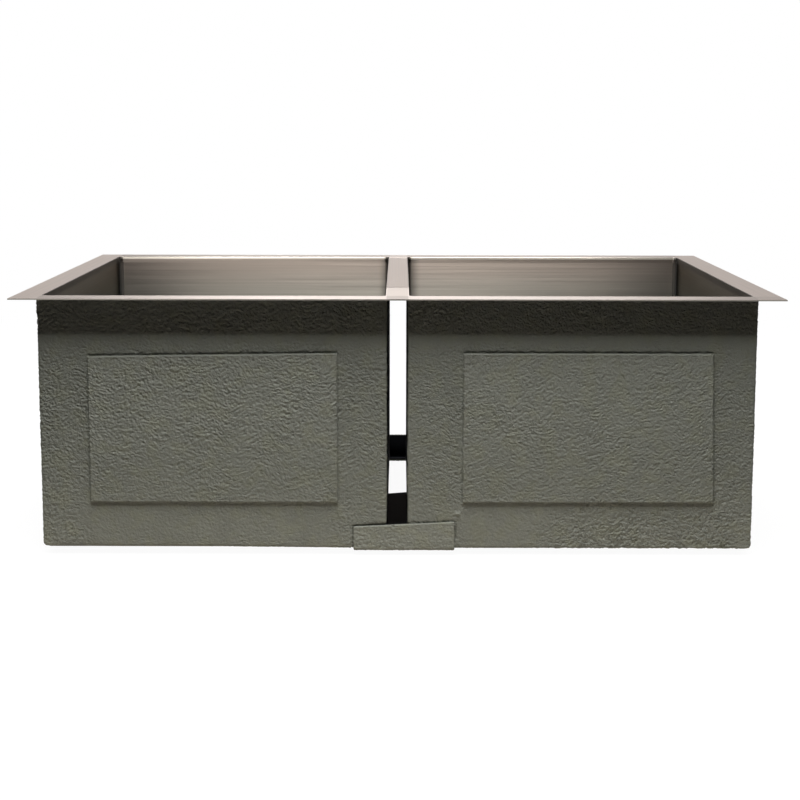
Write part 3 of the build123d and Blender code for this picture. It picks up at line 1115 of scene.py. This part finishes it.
class SINK_OT_undercoats(bpy.types.Operator):
    """Spray the coat on both bowls and both ties"""

    bl_idname = "sink.undercoats"
    bl_label = "Spray coats"

    def execute(self, context):
        coat = context.scene.sink_coat
        tree = relief_tree()
        material = coat_material(coat)
        for hand, side in HANDS.items():
            add_coat(coat_mesh(hand, side), coat, tree, material, f"{hand}_undercoat")
        for name, face in (("front_tie_coat", -1), ("rear_tie_coat", 1)):
            add_coat(tie_coat_mesh(name, face), coat, tree, material, name)
        return {"FINISHED"}


def looked_at(tree):
    """1 for rays from the camera, from a glossy or clear surface, and from any of them."""
    path = node(tree, "ShaderNodeLightPath").outputs
    camera, glossy, clear = (Value(path[f"Is {kind} Ray"]) for kind in ("Camera", "Glossy", "Transmission"))
    shiny = work("MAXIMUM", glossy, clear)
    return camera, shiny, work("MAXIMUM", camera, shiny)


def floor_material(stage):
    """A floor that looks white with a faint shadow, and sends light back only near the part."""
    material = bpy.data.materials.new("Pale floor")
    material.use_nodes = True
    tree = material.node_tree
    tree.nodes.clear()
    _, _, seen = looked_at(tree)
    unseen = 1.0 - seen
    place = value(tree, "ShaderNodeTexCoord", output="Object")
    away = vector("LENGTH", vector("MULTIPLY", place, (0.6, 1.0, 0.0)), output="Value")
    bounce = remap(away, 0.30, 0.48, stage.bounce, 0.03)
    tint = mix(seen, BOUNCE_TINT, WHITE)
    matt = value(tree, "ShaderNodeBsdfDiffuse", {"Color": scaled(tint, seen * 0.8 + unseen * bounce)})
    white = value(tree, "ShaderNodeEmission", {"Color": (*WHITE, 1.0), "Strength": 1.0})
    cover = remap(away, 0.5, 1.6, 0.95, 1.0)
    surface = value(tree, "ShaderNodeMixShader", {0: seen * cover, 1: matt, 2: white})

    # The light that only the underside gets, from the floor below the bowls
    x, y, _ = split(place)
    under = (remap(abs(abs(x) - bowl_middle), 0.172, 0.18, 1.0, 0.0)
             * remap(abs(y), 0.195, 0.205, 1.0, 0.0))
    glow = value(tree, "ShaderNodeEmission", {
        "Color": (*UNDER_TINT, 1.0), "Strength": under * stage.under * unseen})

    above = value(tree, "ShaderNodeAddShader", {0: surface, 1: glow})
    below = value(tree, "ShaderNodeMixShader", {
        0: value(tree, "ShaderNodeNewGeometry", output="Backfacing"), 1: above,
        2: value(tree, "ShaderNodeBsdfTransparent")})
    node(tree, "ShaderNodeOutputMaterial", {"Surface": below})
    return material


def studio_world(stage):
    """White walls all round, a darker ceiling for the steel, and little light on matt surfaces."""
    world = bpy.data.worlds.new("Studio")
    world.use_nodes = True
    tree = world.node_tree
    tree.nodes.clear()
    camera, shiny, seen = looked_at(tree)
    up = split(value(tree, "ShaderNodeTexCoord", output="Generated"))[2]
    walls = remap(up, 0.09, 0.34, 1.0, stage.ceiling)
    back = value(tree, "ShaderNodeBackground", {
        "Color": mix(seen, FILL_TINT, WHITE),
        "Strength": camera + (shiny * walls + (1.0 - seen) * stage.fill)})
    node(tree, "ShaderNodeOutputWorld", {"Surface": back})
    return world


def put(name, data):
    """A new object in the scene."""
    obj = bpy.data.objects.new(name, data)
    bpy.context.scene.collection.objects.link(obj)
    return obj


def softbox(name, width, depth, power, place):
    """A soft rectangular lamp."""
    data = bpy.data.lights.new(name, "AREA")
    data.shape = "RECTANGLE"
    data.size = width
    data.size_y = depth
    data.energy = power
    data.color = LAMP_TINT
    lamp = put(name, data)
    lamp.location = place
    return lamp


class SINK_OT_stage(bpy.types.Operator):
    """Set up the floor, the light and the camera"""

    bl_idname = "sink.stage"
    bl_label = "Set stage"

    def execute(self, context):
        scene = context.scene
        stage = scene.sink_stage
        floor_mesh = bpy.data.meshes.new("floor")
        corners = ((-1, -1), (1, -1), (1, 1), (-1, 1))
        floor_mesh.from_pydata(
            [(x * FLOOR_REACH, y * FLOOR_REACH, cad_box[0].z) for x, y in corners], [], [(0, 1, 2, 3)])
        floor_mesh.materials.append(floor_material(stage))
        put("floor", floor_mesh)

        x, y, z = KEY_PLACE
        softbox("key", stage.key_width, stage.key_depth, stage.key_power, KEY_PLACE)
        strip = softbox(
            "strip", stage.key_width, STRIP_DEPTH, stage.strip_power, (x, y - stage.key_depth / 2, z))
        strip.visible_glossy = False
        x, y, z = REAR_PLACE
        for name, side in (("rear_left", -1), ("rear_right", 1)):
            lamp = softbox(name, REAR_SIZE, REAR_SIZE, stage.rear_power, (side * x, y, z))
            lamp.visible_glossy = False
            aim = Vector((0.0, 0.0, cad_box[0].z / 2)) - lamp.location
            lamp.rotation_euler = aim.to_track_quat("-Z", "Y").to_euler()

        scene.world = studio_world(stage)

        camera_data = bpy.data.cameras.new("camera")
        camera_data.sensor_width = CAMERA_SENSOR
        camera_data.lens = CAMERA_LENS
        camera_data.shift_y = CAMERA_SHIFT
        camera = put("camera", camera_data)
        camera.location = CAMERA_PLACE
        camera.rotation_euler = Euler((math.radians(90.0) - CAMERA_TILT, 0.0, 0.0))
        camera.rotation_euler.rotate_axis("Z", CAMERA_ROLL)
        scene.camera = camera
        scene.view_settings.view_transform = "Standard"
        return {"FINISHED"}


SETTINGS = {"sink_steel": SteelSettings, "sink_coat": CoatSettings, "sink_stage": StageSettings}
OPERATORS = (SINK_OT_rim, SINK_OT_bowls, SINK_OT_ties, SINK_OT_pads, SINK_OT_undercoats, SINK_OT_stage)


class SINK_PT_panel(bpy.types.Panel):
    """The sink's operators and settings"""

    bl_idname = "SINK_PT_panel"
    bl_label = "Sink"
    bl_space_type = "VIEW_3D"
    bl_region_type = "UI"
    bl_category = "Sink"

    def draw(self, context):
        for operator in OPERATORS:
            self.layout.operator(operator.bl_idname)
        for owner in SETTINGS:
            settings = getattr(context.scene, owner)
            for name in settings.__annotations__:
                self.layout.prop(settings, name)


CLASSES = (*SETTINGS.values(), *OPERATORS, SINK_PT_panel)


def register():
    for cls in CLASSES:
        bpy.utils.register_class(cls)
    for owner, kind in SETTINGS.items():
        setattr(bpy.types.Scene, owner, PointerProperty(type=kind))


def unregister():
    for owner in SETTINGS:
        delattr(bpy.types.Scene, owner)
    for cls in reversed(CLASSES):
        bpy.utils.unregister_class(cls)


def main():
    register()
    brushed_group()
    coat_group()
    bpy.ops.sink.rim()
    bpy.ops.sink.bowls()
    bpy.ops.sink.ties()
    bpy.ops.sink.pads()
    bpy.ops.sink.undercoats()
    bpy.ops.sink.stage()


if __name__ == "__main__":
    main()
